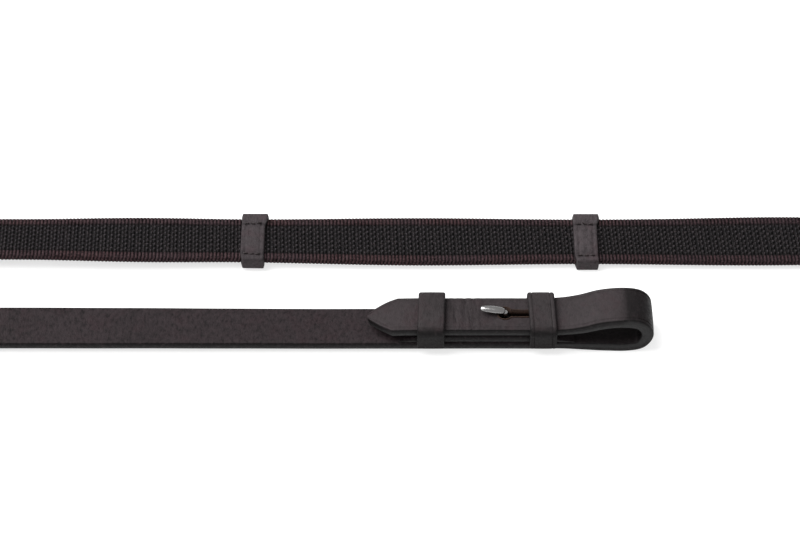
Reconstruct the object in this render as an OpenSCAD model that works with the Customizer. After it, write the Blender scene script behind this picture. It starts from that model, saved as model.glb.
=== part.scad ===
// Pair of leather and web reins, wound up for storage with the near bit end laid out.
// The near rein runs from its bit loop round a turn on edge, comes back flat as web,
// and goes on edge into a hank that holds the rest, the centre buckle and the off rein.

/* [Straps] */
// Width of the leather straps
leather_w = 16; // [15.5:0.1:17]
// Thickness of the bit straps
bit_strap_t = 3.3; // [3:0.1:3.6]
// Thickness of the hand straps that meet at the buckle
hand_strap_t = 3; // [2.6:0.1:3]
// Width of the rubber-grip web
web_w = 20; // [18:0.5:20.5]
// Thickness of the rubber-grip web
web_t = 2.5; // [2:0.1:2.6]

/* [Rein lengths] */
// From the hook stud to where the leather meets the web
bit_strap_len = 380; // [376:1:384]
// Length of the web of one rein
web_len = 750; // [746:1:754]

/* [Hand stops] */
// From the hook stud to the first stop
first_stop = 561.4; // [555:0.1:568]
// Distance from one stop to the next
stop_pitch = 120.8; // [110:0.1:121]
// Length of a stop along the web
stop_len = 8.8; // [7:0.1:12]
// Thickness of the leather of a stop
stop_t = 1.5; // [1:0.1:1.6]

/* [Bit end] */
// Width of the billet, a little less than the strap's
billet_w = 14.8; // [14:0.1:15]
// Radius of the bend that the bit ring sits in
loop_r = 4.4; // [4:0.05:4.6]
// Thickness of the leather on that bend
loop_t = 4.2; // [3.5:0.1:4.4]
// From the hook stud to the centre of that bend
loop_x = 43.4; // [42:0.1:44]
// How far the billet slides back to come off its stud
billet_travel = 6; // [3:0.5:6]
// Thickness of the keepers
keeper_t = 1.5; // [1.2:0.1:1.6]

/* [Centre buckle] */
// Diameter of the buckle's rails and bar
buckle_wire = 3.2; // [2.8:0.1:3.2]
// From the buckle's bar to its front rail
buckle_len = 12; // [11.5:0.5:12.5]

/* [Hank] */
// Distance between the two runs that lie side by side
run_spacing = 40.5; // [39:0.5:42]
// Length of the hank's straight sides
hank_side = 108; // [107:0.5:109]
// Radius of the hank's outermost bend
hank_r = 45.8; // [45.5:0.1:46.2]

/* [Hidden] */
$fn = 48;

LEATHER = [0.24, 0.2, 0.2];
BILLET = [0.3, 0.26, 0.26];
STOP = [0.36, 0.32, 0.32];
WEB = [0.2, 0.14, 0.14];
STEEL = [0.75, 0.75, 0.76];
BAND = [0.12, 0.12, 0.12];

// The bit end, measured from the hook stud towards the loop, upwards from the strap.
strip_z = bit_strap_t;
billet_z = 2 * bit_strap_t + 0.2;
billet_top = billet_z + bit_strap_t;
band_gap = 0.1;
strap_lift = stop_t + band_gap / 2;
loop_z = loop_r + loop_t - strap_lift;
loop_w = billet_w + 0.6;
loop_from = 20;
loop_end = loop_x + loop_r + loop_t;
strip_ends = [-37.5, 24.5];
billet_tip = -49.4;
keeper_gap = 0.3;
stud_keeper_at = 8.3;
tip_keeper_at = -30.5;
keeper_len = 9.4;
post_r = 1.7;
slot_r = 2.1;

// The two bends on the left and the twists, by distance along the rein from the hook stud.
u_turn_r = run_spacing / 2;
flat_run = 60;
slow_twist = 124;
twist = 63;
edge_run = 47;
splice_run = 45;
untwist = 65;
slow_untwist = 160;
web_flat = 84;
web_lean = 50;
web_twist = 64;

// The hank: each bend is smaller than the one before it by half the gap to the next turn.
turn_gap = 7.25;
buckle_gap = 12.25;
inner_gap = 9.25;
bends = 9;
gap_of = [buckle_gap, turn_gap, inner_gap, turn_gap, turn_gap, turn_gap, turn_gap, turn_gap];
function bend_r(i) =
    i == 0 ? hank_r :
    i == 1 ? hank_r - gap_of[0] / 2 :
    bend_r(i - 2) - (gap_of[i - 2] + gap_of[i - 1]) / 2;
function side_steps(i) = i == 2 ? 27 : 4;
hank = [
    for (i = [0:bends - 1])
        each [[hank_side, 0, side_steps(i)], [PI * bend_r(i), -180, 12]]
];

// Each stretch of the route is [length, turn in degrees, steps].
stretches = concat(
    [
        [loop_from + flat_run, 0, 2],
        [slow_twist, 0, 6],
        [twist, 0, 12],
        [edge_run, 0, 2],
        [PI * u_turn_r, -180, 14],
        [splice_run, 0, 2],
        [untwist, 0, 12],
        [slow_untwist, 0, 8],
        [web_flat, 0, 1],
        [web_lean, 0, 4],
        [web_twist, 0, 12]
    ],
    hank,
    [[hank_side, 0, 4]]
);
lead = 11;

// Where a stretch starts: [distance, x, y, heading].
function after(p, stretch) =
    let (len = stretch[0], turn = stretch[1], h = p[3])
    turn == 0 ?
        [p[0] + len, p[1] + len * cos(h), p[2] + len * sin(h), h] :
        let (r = len / (turn * PI / 180))
        [
            p[0] + len,
            p[1] + r * (sin(h + turn) - sin(h)),
            p[2] - r * (cos(h + turn) - cos(h)),
            h + turn
        ];
function walk(i) =
    i == 0 ? [[-loop_from, loop_from, 0, 180]] :
    let (before = walk(i - 1))
    concat(before, [after(before[i - 1], stretches[i - 1])]);
starts = walk(len(stretches));
function stretch_at(s) =
    max([for (i = [0:len(stretches) - 1]) if (i == 0 || starts[i][0] <= s) i]);
function place(s) =
    let (
        i = stretch_at(s),
        part = s - starts[i][0],
        whole = stretches[i][0]
    )
    after(starts[i], [part, stretches[i][1] * part / whole, 1]);

// The middle of the floor that the reins cover, which is the model's origin.
hank_start = starts[lead];
left_end = -flat_run - slow_twist - twist - edge_run - u_turn_r - bit_strap_t / 2;
right_end = hank_start[1] + hank_side + hank_r + web_t / 2;
far_side = run_spacing + web_w / 2 + stop_t;
near_side = run_spacing - 2 * hank_r - web_t / 2 - stop_t;
origin = [(left_end + right_end) / 2, (far_side + near_side) / 2, 0];

// Where the pieces of each rein lie along the route.
buckle_from = 16;
buckle_s = starts[lead + 4][0] + buckle_from;
off_stud_s = 2 * buckle_s;
web_end = bit_strap_len + web_len;
function rein_s(off, d) = off ? off_stud_s - d : d;
function stop_d(i) = first_stop + (i - 1) * stop_pitch;
splice_from = bit_strap_len - 20;
splice_to = bit_strap_len + 22;
hand_splice_from = web_end - 22;
hand_splice_to = web_end + 20;
splice_t = 1.4;
u_turn_s = starts[4][0];

// How the strap is rolled about its own line, in degrees, and what it rests on.
buckle_w = leather_w + 1.2 + 2 * buckle_wire;
edge_s = starts[3][0];
untwist_s = starts[6][0];
visible_s = starts[7][0];
flat_s = starts[8][0];
lean_s = starts[9][0];
web_twist_s = starts[10][0];
rolls = [
    [flat_run, 0], [starts[2][0], -3], [edge_s, -90], [untwist_s, -90], [visible_s, -7],
    [flat_s, 0], [lean_s, 0], [web_twist_s, 2], [hank_start[0], 90], [9999, 90]
];
function ease(t) = t * t * (3 - 2 * t);
function eased(s, keys) =
    s <= keys[0][0] ? keys[0][1] :
    let (
        i = max([for (k = [0:len(keys) - 2]) if (keys[k][0] <= s) k]),
        a = keys[i],
        b = keys[i + 1]
    )
    a[1] + (b[1] - a[1]) * ease(min(1, (s - a[0]) / (b[0] - a[0])));
at_buckle_w = buckle_w - 2 * stop_t;
heights = [
    [u_turn_s - 20, leather_w], [u_turn_s + 50, web_w],
    [web_end + 22, web_w], [web_end + 80, leather_w],
    [buckle_s - 70, leather_w], [buckle_s - 16, at_buckle_w],
    [buckle_s + 88, at_buckle_w], [rein_s(true, web_end + 22), web_w],
    [rein_s(true, bit_strap_len - 22), web_w],
    [rein_s(true, bit_strap_len - 90), leather_w], [9999, leather_w]
];
function roll_at(s) = eased(s, rolls);
function height_at(s, t) =
    let (r = roll_at(s))
    abs(sin(r)) * (strap_lift + eased(s, heights) / 2) + abs(cos(r)) * (strap_lift + t / 2);

// A point at u across the strap and v up from its middle. Between two stations the strap is
// straight, so that what goes round it fits it on a bend too.
function on_route(s, t, u, v) =
    let (
        p = place(s),
        r = roll_at(s),
        across = [-sin(p[3]), cos(p[3]), 0],
        side = cos(r) * u - sin(r) * v,
        up = sin(r) * u + cos(r) * v
    )
    [p[1], p[2], height_at(s, t)] + side * across + [0, 0, up] - origin;
function on_strap(s, t, u, v) =
    let (
        i = stretch_at(s),
        step = stretches[i][0] / stretches[i][2],
        k = floor((s - starts[i][0]) / step + 1e-6),
        f = (s - starts[i][0]) / step - k,
        a = starts[i][0] + k * step
    )
    f < 1e-5 ? on_route(s, t, u, v) : (1 - f) * on_route(a, t, u, v) + f * on_route(a + step, t, u, v);
stations = [
    for (i = [0:len(stretches) - 1])
        for (k = [0:stretches[i][2] - 1])
            starts[i][0] + stretches[i][0] * k / stretches[i][2]
];

// The straps have a station at each edge of a stop as well, so that the stop fits on a twist.
stop_edges = [
    for (off = [false, true])
        for (i = [1:5])
            for (side = [-1, 1])
                rein_s(off, stop_d(i)) + side * stop_len / 2
];
function sorted(v) =
    len(v) < 2 ? v :
    let (pivot = v[floor(len(v) / 2)])
    concat(
        sorted([for (s = v) if (s < pivot) s]),
        [pivot],
        sorted([for (s = v) if (s > pivot) s])
    );
marks = sorted(concat(stations, stop_edges));
function between(a, b) = concat([a], [for (s = marks) if (s > a + 0.01 && s < b - 0.01) s], [b]);

// The point strap lies on top of the chape beyond the buckle's bar.
chape_t = 1.6;
bar_r = buckle_wire / 2;
bore_r = bar_r + 0.08;
chape_out = bore_r + chape_t;
point_up = chape_out + 0.15 + hand_strap_t / 2;
point_len = 86;
point_rise = [[-buckle_len, 0], [-1, point_up], [999, point_up]];
function point_rise_at(s) = -eased(s - buckle_s, point_rise);

function corners(w, t) = [[-w / 2, -t / 2], [w / 2, -t / 2], [w / 2, t / 2], [-w / 2, t / 2]];
function quads(n, base_a, base_b, outward) = [
    for (k = [0:n - 1])
        let (a = base_a + k, b = base_a + (k + 1) % n, c = base_b + (k + 1) % n, d = base_b + k)
        each (outward ? [[a, c, b], [a, d, c]] : [[a, b, c], [a, c, d]])
];

// A strap of one section along the route; rise moves it off the route's own line.
module strap(a, b, w, t, rise = function (s) 0) {
    line = between(a, b);
    rings = len(line);
    points = [for (s = line) for (c = corners(w, t)) on_strap(s, t, c[0], c[1] + rise(s))];
    last = 4 * (rings - 1);
    sides = [for (k = [0:rings - 2]) each quads(4, 4 * k, 4 * k + 4, true)];
    first_end = [[0, 1, 2], [0, 2, 3]];
    last_end = [[last, last + 2, last + 1], [last, last + 3, last + 2]];
    polyhedron(points, concat(first_end, sides, last_end));
}

// A closed band round the strap.
module band(a, b, host_w, host_t, wall) {
    line = between(a, b);
    rings = len(line);
    outer = corners(host_w + band_gap + 2 * wall, host_t + band_gap + 2 * wall);
    inner = corners(host_w + band_gap, host_t + band_gap);
    points = [for (s = line) for (c = concat(outer, inner)) on_strap(s, host_t, c[0], c[1])];
    last = 8 * (rings - 1);
    sides = [
        for (k = [0:rings - 2])
            each concat(
                quads(4, 8 * k, 8 * k + 8, true),
                quads(4, 8 * k + 4, 8 * k + 12, false)
            )
    ];
    polyhedron(points, concat(quads(4, 0, 4, false), sides, quads(4, last, last + 4, true)));
}

// Puts a bit end's own frame (x towards the loop, z up from the strap) on its rein.
module at_bit_end(off) {
    if (off) {
        p = place(off_stud_s);
        middle = height_at(off_stud_s, bit_strap_t);
        translate([p[1], p[2], middle] - origin)
            rotate([0, 0, p[3]])
                rotate([90, 0, 0])
                    translate([0, 0, -bit_strap_t / 2])
                        children();
    } else {
        translate([0, 0, strap_lift] - origin)
            children();
    }
}

// Puts the buckle's frame (x towards the off rein, z out of the hank) at its bar.
module at_buckle() {
    p = place(buckle_s);
    translate([p[1], p[2], height_at(buckle_s, hand_strap_t)] - origin)
        rotate([0, 0, p[3]])
            rotate([-90, 0, 0])
                children();
}

module across_strap(w) {
    rotate([90, 0, 0])
        translate([0, 0, -w / 2])
            linear_extrude(w)
                children();
}

module bit_strap(off) {
    color(LEATHER)
        if (off) strap(off_stud_s - bit_strap_len, off_stud_s + loop_from, leather_w, bit_strap_t);
        else strap(-loop_from, bit_strap_len, leather_w, bit_strap_t);
}

// One bend round the bit ring, with a leg to the strap and a leg to the billet.
module bit_loop(off) {
    outer = loop_r + loop_t;
    low = loop_z - outer;
    high = loop_z + outer;
    color(LEATHER)
        at_bit_end(off) {
            translate([loop_x, 0, loop_z])
                rotate([90, 0, 0])
                    difference() {
                        cylinder(r = outer, h = loop_w, center = true);
                        cylinder(r = loop_r, h = loop_w + 2, center = true);
                        translate([-outer, 0, 0])
                            cube([2 * outer, 3 * outer, loop_w + 2], center = true);
                    }
            across_strap(loop_w)
                polygon([
                    [loop_from, 0], [28, -0.5], [35, low + 0.2], [loop_x, low],
                    [loop_x, low + loop_t], [35, low + loop_t + 0.1], [28, bit_strap_t - 0.3],
                    [loop_from, bit_strap_t]
                ]);
            across_strap(loop_w)
                polygon([
                    [loop_from, billet_z], [27, billet_z + 1.8], [34, high - loop_t - 0.6],
                    [loop_x, high - loop_t], [loop_x, high], [34, high - 0.4],
                    [27, billet_top + 2.4], [loop_from, billet_top]
                ]);
        }
}

// The tongue of leather that comes back over the stud, pointed at its end.
module billet(off) {
    taper_to = billet_tip + 10;
    color(BILLET)
        at_bit_end(off)
            difference() {
                translate([0, 0, billet_z])
                    linear_extrude(bit_strap_t)
                        polygon([
                            [loop_from, -billet_w / 2], [loop_from, billet_w / 2],
                            [taper_to, billet_w / 2], [billet_tip, 1.5], [billet_tip, -1.5],
                            [taper_to, -billet_w / 2]
                        ]);
                translate([0, 0, billet_z - 1]) {
                    cylinder(r = slot_r, h = bit_strap_t + 2);
                    translate([billet_travel, 0, 0])
                        cylinder(r = slot_r, h = bit_strap_t + 2);
                    translate([0, -slot_r, 0])
                        cube([billet_travel, 2 * slot_r, bit_strap_t + 2]);
                }
            }
}

module stud_strip(off) {
    skive = 12;
    color(LEATHER)
        at_bit_end(off)
            translate([0, 0, strip_z])
                difference() {
                    across_strap(loop_w)
                        polygon([
                            [strip_ends[0], 0], [strip_ends[1], 0], [strip_ends[1], 0.6],
                            [strip_ends[1] - skive, bit_strap_t], [strip_ends[0] + skive, bit_strap_t],
                            [strip_ends[0], 0.6]
                        ]);
                    translate([0, 0, -1])
                        cylinder(r = post_r + 0.05, h = bit_strap_t + 2);
                }
}

// A post through the middle strip, with a long head that hooks back over the billet.
module hook_stud(off) {
    head_len = 8.6;
    head_z = billet_top + 0.3;
    head_t = 2;
    color(STEEL)
        at_bit_end(off) {
            translate([0, 0, strip_z + 0.05])
                cylinder(r = post_r, h = head_z - strip_z + head_t / 2);
            hull() {
                translate([0, 0, head_z])
                    cylinder(r = 1.9, h = head_t, $fn = 32);
                translate([1.9 - head_len / 2, 0, head_z])
                    cylinder(r = 2.5, h = head_t - 0.4, $fn = 32);
                translate([2.9 - head_len, 0, head_z + 0.2])
                    cylinder(r = 1, h = head_t - 0.8, $fn = 32);
            }
        }
}

// A fixed loop whose two ends are sewn in under the middle strip.
module keeper(off, x) {
    inner_w = loop_w + 0.2;
    outer_w = inner_w + 2 * keeper_t;
    base = bit_strap_t;
    inner_top = billet_top + keeper_gap;
    tuck = 2.5;
    tuck_t = 0.8;
    color(BILLET)
        at_bit_end(off)
            translate([x, 0, 0])
                difference() {
                    translate([0, -outer_w / 2, base])
                        cube([keeper_len, outer_w, inner_top + keeper_t - base]);
                    translate([-1, -inner_w / 2, base + tuck_t])
                        cube([keeper_len + 2, inner_w, inner_top - base - tuck_t]);
                    translate([-1, tuck - inner_w / 2, base - 1])
                        cube([keeper_len + 2, inner_w - 2 * tuck, 3]);
                }
}

module web(off) {
    color(WEB)
        if (off) strap(rein_s(off, web_end), rein_s(off, bit_strap_len), web_w, web_t);
        else strap(bit_strap_len, web_end, web_w, web_t);
}

module stop(off, i) {
    middle = rein_s(off, stop_d(i));
    color(STOP)
        band(middle - stop_len / 2, middle + stop_len / 2, web_w, web_t, stop_t);
}

module splice(off, a, b) {
    color(LEATHER)
        band(
            off ? rein_s(off, b) : a,
            off ? rein_s(off, a) : b,
            web_w,
            bit_strap_t,
            splice_t
        );
}

hole_xs = [19, 44, 69];
hole_r = 1.6;
tongue_r = 1.2;
tongue_hole = [-7.2, -2.8];

// The off strap ends at the chape. The near one goes on through the buckle to a point.
module hand_strap(off) {
    tip = buckle_s + point_len;
    hole_h = 3 * hand_strap_t;
    color(LEATHER)
        if (off) {
            strap(buckle_s + 4, rein_s(off, web_end), leather_w, hand_strap_t);
        } else {
            difference() {
                strap(web_end, tip, leather_w, hand_strap_t, function (s) point_rise_at(s));
                at_buckle() {
                    for (x = hole_xs)
                        translate([x, 0, point_up - hole_h / 2])
                            cylinder(r = hole_r, h = hole_h);
                    for (side = [-1, 1])
                        translate([point_len, side * leather_w / 2, point_up])
                            rotate([0, 0, 45])
                                cube([9, 9, hole_h], center = true);
                    hull()
                        for (x = tongue_hole)
                            translate([x, 0, -3])
                                cylinder(r = tongue_r + 0.4, h = 12, $fn = 32);
                }
            }
        }
}

front_up = hand_strap_t / 2 + 0.3 + bar_r;
frame_tilt = atan(front_up / buckle_len);
rail_len = norm([buckle_len, front_up]);
inside_w = leather_w + 1.2;
corner_r = 2.4;
weld = 0.04;

// A rail of round wire across the frame, with a quarter bend down at each end.
module rail(way) {
    straight = inside_w + buckle_wire - 2 * corner_r;
    rotate([90, 0, 0])
        cylinder(r = bar_r, h = straight + weld, center = true);
    for (side = [-1, 1])
        translate([way * corner_r, side * straight / 2, 0])
            rotate([0, 0, way > 0 ? (side > 0 ? 90 : 180) : (side > 0 ? 0 : 270)])
                rotate_extrude(angle = 90)
                    translate([corner_r, 0])
                        circle(r = bar_r);
}

// A rectangle of round wire, tilted so that the point strap passes under its front rail.
module buckle_frame() {
    side_len = rail_len - 2 * corner_r + weld;
    color(STEEL)
        at_buckle()
            rotate([0, frame_tilt, 0]) {
                rail(-1);
                translate([-rail_len, 0, 0])
                    rail(1);
                for (side = [-1, 1])
                    translate([-rail_len / 2, side * (inside_w + buckle_wire) / 2, 0])
                        rotate([0, 90, 0])
                            cylinder(r = bar_r, h = side_len, center = true);
            }
}

tongue_w = 2 * tongue_r;
tongue_rest = bar_r + tongue_r + 0.1;

// An eye round the bar and a shank that lies on the front rail.
module buckle_tongue() {
    eye_r = 2.7;
    tip_x = -rail_len - 1.6;
    lean = atan(tongue_rest / rail_len);
    color(STEEL)
        at_buckle()
            rotate([0, frame_tilt + lean, 0])
                difference() {
                    union() {
                        rail_eye(eye_r);
                        rotate([0, -90, 0])
                            cylinder(r = tongue_r, h = -tip_x);
                        translate([tip_x, 0, 0])
                            sphere(r = tongue_r);
                    }
                    rotate([90, 0, 0])
                        cylinder(r = bore_r, h = 2 * tongue_w, center = true);
                }
}

module rail_eye(r) {
    rotate([90, 0, 0])
        cylinder(r = r, h = tongue_w, center = true);
}

// A thin strap folded round the bar, with a crew hole for the tongue.
module buckle_chape() {
    reach = 40;
    crew = [-6, 8.5];
    color(LEATHER)
        at_buckle()
            difference() {
                union() {
                    rotate([90, 0, 0])
                        cylinder(r = chape_out, h = leather_w, center = true);
                    for (side = [-1, 1])
                        translate([reach / 2, 0, side * (chape_out + bore_r) / 2])
                            cube([reach, leather_w, chape_t], center = true);
                }
                rotate([90, 0, 0])
                    cylinder(r = bore_r, h = leather_w + 2, center = true);
                translate([0, -leather_w / 2 - 1, -bore_r])
                    cube([reach + 1, leather_w + 2, 2 * bore_r]);
                translate([crew[0], -tongue_r - 0.4, -chape_out - 1])
                    cube([crew[1] - crew[0], tongue_w + 0.8, 2 * chape_out + 2]);
            }
}

// A loop round both straps beyond the buckle.
module strap_loop(x, length) {
    low = -chape_out - 0.15;
    high = point_up + hand_strap_t / 2 + 0.3;
    inner_w = leather_w + 2 * keeper_gap;
    color(BILLET)
        at_buckle()
            translate([x, 0, (low + high) / 2])
                difference() {
                    cube([length, inner_w + 2 * keeper_t, high - low + 2 * keeper_t], center = true);
                    cube([length + 2, inner_w, high - low], center = true);
                }
}

module buckle_keeper() strap_loop(12, 7);
module buckle_runner() strap_loop(29, 7);

// A flat band round the turns on the hank's near side.
module hank_tie() {
    band_len = 9;
    band_t = 1;
    tie_x = hank_start[1] + hank_side * 0.8;
    outer_y = starts[lead + 2][2] - web_t / 2 - 0.4;
    inner_y = starts[lead + 14][2] + bit_strap_t / 2 + 0.4;
    low = band_t + 0.2;
    high = strap_lift + web_w + 0.4;
    color(BAND)
        translate([tie_x, outer_y, low] - origin)
            difference() {
                translate([-band_len / 2, -band_t, -band_t])
                    cube([band_len, inner_y - outer_y + 2 * band_t, high - low + 2 * band_t]);
                translate([-band_len, 0, 0])
                    cube([2 * band_len, inner_y - outer_y, high - low]);
            }
}

for (off = [false, true]) {
    side = off ? "off_" : "near_";
    bit_strap(off);
    bit_loop(off);
    billet(off);
    stud_strip(off);
    hook_stud(off);
    keeper(off, stud_keeper_at);
    keeper(off, tip_keeper_at);
    splice(off, splice_from, splice_to);
    web(off);
    for (i = [1:5])
        stop(off, i);
    splice(off, hand_splice_from, hand_splice_to);
    hand_strap(off);
}
buckle_frame();
buckle_tongue();
buckle_chape();
buckle_keeper();
buckle_runner();
hank_tie();
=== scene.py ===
import math

import bmesh
import bpy
import numpy as np
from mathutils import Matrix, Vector


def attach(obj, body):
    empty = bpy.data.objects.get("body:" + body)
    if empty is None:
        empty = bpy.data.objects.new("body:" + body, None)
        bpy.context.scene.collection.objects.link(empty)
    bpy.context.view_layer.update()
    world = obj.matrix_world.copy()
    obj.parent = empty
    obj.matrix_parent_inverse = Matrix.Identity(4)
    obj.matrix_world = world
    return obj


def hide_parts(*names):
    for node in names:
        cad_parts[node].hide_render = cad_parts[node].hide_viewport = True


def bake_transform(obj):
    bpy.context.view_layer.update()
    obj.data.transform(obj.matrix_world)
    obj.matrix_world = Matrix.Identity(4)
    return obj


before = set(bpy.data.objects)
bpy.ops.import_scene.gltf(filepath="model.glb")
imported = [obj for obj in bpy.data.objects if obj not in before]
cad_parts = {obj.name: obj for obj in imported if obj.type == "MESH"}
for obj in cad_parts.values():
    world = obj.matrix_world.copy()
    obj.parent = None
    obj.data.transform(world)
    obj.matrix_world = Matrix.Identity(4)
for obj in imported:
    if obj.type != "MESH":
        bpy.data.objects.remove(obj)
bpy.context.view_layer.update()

MM = 0.001
rng = np.random.default_rng(7)

# ---- the reins' sizes, in mm
LEATHER_W, BIT_T, HAND_T = 16.0, 3.3, 3.0
WEB_W, WEB_T = 20.0, 2.5
BIT_LEN, WEB_LEN = 380.0, 750.0
FIRST_STOP, STOP_PITCH, STOP_LEN, STOP_T = 561.4, 120.8, 8.8, 1.5
LIFT = STOP_T + 0.05  # the straps lie this far above the floor, on their stops
BILLET_W, LOOP_W = 14.8, 15.4
LOOP_R, LOOP_T, LOOP_X = 4.4, 4.2, 43.4
LOOP_Z = LOOP_R + LOOP_T - LIFT
LOOP_FROM, BILLET_TIP = 20.0, -49.4
LAYER_Z = 2 * BIT_T + 0.2
BILLET_TOP = LAYER_Z + BIT_T
KEEPER_T, KEEPER_LEN = 1.5, 9.4
STUD_KEEPER_X, TIP_KEEPER_X = 8.3, -30.5
STRIP_ENDS = (-37.5, 24.5)
SPLICE_T = 1.4
BUCKLE_WIRE, BUCKLE_LEN = 3.2, 12.0
RUN_SPACING, HANK_SIDE, HANK_R = 40.5, 108.0, 45.8
GAPS = [12.25, 7.25, 9.25, 7.25, 7.25, 7.25, 7.25, 7.25]  # between the hank's turns, inwards
BENDS, LEAD = 9, 11  # bends in the hank, and stretches of the route before it


# ---- the route, as in part.scad
def bend_r(i):
    """Radius of the hank's bend i, counted from its outside."""
    if i < 2:
        return HANK_R - (GAPS[0] / 2 if i else 0)
    return bend_r(i - 2) - (GAPS[i - 2] + GAPS[i - 1]) / 2


# The route's stretches, each with its length and its turn in degrees
U_TURN_R = RUN_SPACING / 2
FLAT_RUN, SLOW_TWIST, TWIST, EDGE_RUN = 60, 124, 63, 47
STRETCHES = [(LOOP_FROM + FLAT_RUN, 0), (SLOW_TWIST, 0), (TWIST, 0), (EDGE_RUN, 0),
             (math.pi * U_TURN_R, -180), (45, 0), (65, 0), (160, 0), (84, 0), (50, 0), (64, 0)]
for i in range(BENDS):
    STRETCHES += [(HANK_SIDE, 0), (math.pi * bend_r(i), -180)]
STRETCHES.append((HANK_SIDE, 0))


def after(p, length, turn):
    """Where a stretch ends that starts at p, as (s, x, y, heading in degrees)."""
    s, x, y, h = p
    a = math.radians(h)
    if not turn:
        return (s + length, x + length * math.cos(a), y + length * math.sin(a), h)
    b, r = math.radians(h + turn), length / math.radians(turn)
    return (s + length, x + r * (math.sin(b) - math.sin(a)), y - r * (math.cos(b) - math.cos(a)),
            h + turn)


STARTS = [(-LOOP_FROM, LOOP_FROM, 0.0, 180.0)]
for stretch in STRETCHES:
    STARTS.append(after(STARTS[-1], *stretch))


def place(s):
    """The route's (s, x, y, heading) at s, the distance from the near stud."""
    i = max([k for k in range(len(STRETCHES)) if STARTS[k][0] <= s + 1e-9], default=0)
    part = s - STARTS[i][0]
    return after(STARTS[i], part, STRETCHES[i][1] * part / STRETCHES[i][0])


HANK_START = STARTS[LEAD]
LEFT_END = -FLAT_RUN - SLOW_TWIST - TWIST - EDGE_RUN - U_TURN_R - BIT_T / 2
RIGHT_END = HANK_START[1] + HANK_SIDE + HANK_R + WEB_T / 2
FAR_SIDE = RUN_SPACING + WEB_W / 2 + STOP_T
NEAR_SIDE = RUN_SPACING - 2 * HANK_R - WEB_T / 2 - STOP_T
ORIGIN = np.array([(LEFT_END + RIGHT_END) / 2, (FAR_SIDE + NEAR_SIDE) / 2, 0])

BUCKLE_S = STARTS[LEAD + 4][0] + 16
OFF_STUD_S = 2 * BUCKLE_S
WEB_END = BIT_LEN + WEB_LEN
POINT_LEN = 86
BUCKLE_W = LEATHER_W + 1.2 + 2 * BUCKLE_WIRE
AT_BUCKLE_W = BUCKLE_W - 2 * STOP_T


def rein_s(off, d):
    """Place on the route of the point at d from the near or the off rein's stud."""
    return OFF_STUD_S - d if off else d


# Along the route, the strap's roll in degrees (90 on edge) and the height it needs on edge
U_TURN_S = STARTS[4][0]
ROLLS = [(FLAT_RUN, 0), (STARTS[2][0], -3), (STARTS[3][0], -90), (STARTS[6][0], -90),
         (STARTS[7][0], -7), (STARTS[8][0], 0), (STARTS[9][0], 0), (STARTS[10][0], 2),
         (HANK_START[0], 90), (9999, 90)]
HEIGHTS = [(U_TURN_S - 20, LEATHER_W), (U_TURN_S + 50, WEB_W), (WEB_END + 22, WEB_W),
           (WEB_END + 80, LEATHER_W), (BUCKLE_S - 70, LEATHER_W), (BUCKLE_S - 16, AT_BUCKLE_W),
           (BUCKLE_S + 88, AT_BUCKLE_W), (rein_s(True, WEB_END + 22), WEB_W),
           (rein_s(True, BIT_LEN - 22), WEB_W), (rein_s(True, BIT_LEN - 90), LEATHER_W),
           (9999, LEATHER_W)]


def eased(s, keys):
    """A smooth value along s through the keys."""
    at = np.array([k[0] for k in keys], float)
    value = np.array([k[1] for k in keys], float)
    i = np.clip(np.searchsorted(at, s, side="right") - 1, 0, len(keys) - 2)
    t = np.clip((s - at[i]) / (at[i + 1] - at[i]), 0, 1)
    return value[i] + (value[i + 1] - value[i]) * t * t * (3 - 2 * t)


def line_at(s, t, rise=None):
    """Middle, across and up vectors of a strap of thickness t at each s, in layout mm."""
    s = np.asarray(s, float)
    p = np.array([place(v)[1:4] for v in s])
    h = np.radians(p[:, 2])
    r = np.radians(eased(s, ROLLS))
    across = np.stack([-np.sin(h), np.cos(h), 0 * h], 1)
    z = np.zeros((len(s), 3))
    z[:, 2] = 1
    side = np.cos(r)[:, None] * across + np.sin(r)[:, None] * z
    up = -np.sin(r)[:, None] * across + np.cos(r)[:, None] * z
    height = np.abs(np.sin(r)) * (LIFT + eased(s, HEIGHTS) / 2) + np.abs(np.cos(r)) * (LIFT + t / 2)
    middle = np.stack([p[:, 0], p[:, 1], height], 1)
    if rise is not None:
        middle = middle + rise(s)[:, None] * up
    return middle, side, up


def to_model(points):
    """From layout mm to the model's frame, in metres."""
    return (np.asarray(points, float) - ORIGIN) * MM


def bit_frame(off):
    """A bit end's own frame, x towards the loop and z up from the strap, to layout mm."""
    if not off:
        return lambda p: np.asarray(p, float) + [0, 0, LIFT]
    _, px, py, _ = place(OFF_STUD_S)
    mid = line_at([OFF_STUD_S], BIT_T)[0][0, 2]

    def put(p):
        p = np.asarray(p, float)
        return np.stack([px - p[..., 0], py + p[..., 2] - BIT_T / 2, mid + p[..., 1]], -1)

    return put


def buckle_frame(p):
    """The buckle's own frame, x towards the off rein and z out of the hank, to layout mm."""
    p = np.asarray(p, float)
    _, px, py, _ = place(BUCKLE_S)
    mid = line_at([BUCKLE_S], HAND_T)[0][0, 2]
    return np.stack([px + p[..., 0], py + p[..., 2], mid - p[..., 1]], -1)


# ---- camera
TARGET = np.array([-36.83, 29.03, 2.0])
DISTANCE, ELEVATION, LENS, SENSOR = 904.9, math.radians(50.5), 112.77, 36
camera = bpy.data.objects.new("camera", bpy.data.cameras.new("camera"))
bpy.context.scene.collection.objects.link(camera)
bpy.context.scene.camera = camera
back = np.array([0, -math.cos(ELEVATION), math.sin(ELEVATION)])
camera.location = Vector(to_model(TARGET + DISTANCE * back))
camera.rotation_euler = (math.pi / 2 - ELEVATION, 0, 0)
camera.data.sensor_width, camera.data.lens = SENSOR, LENS
camera.data.clip_start, camera.data.clip_end = 0.02, 20


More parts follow.
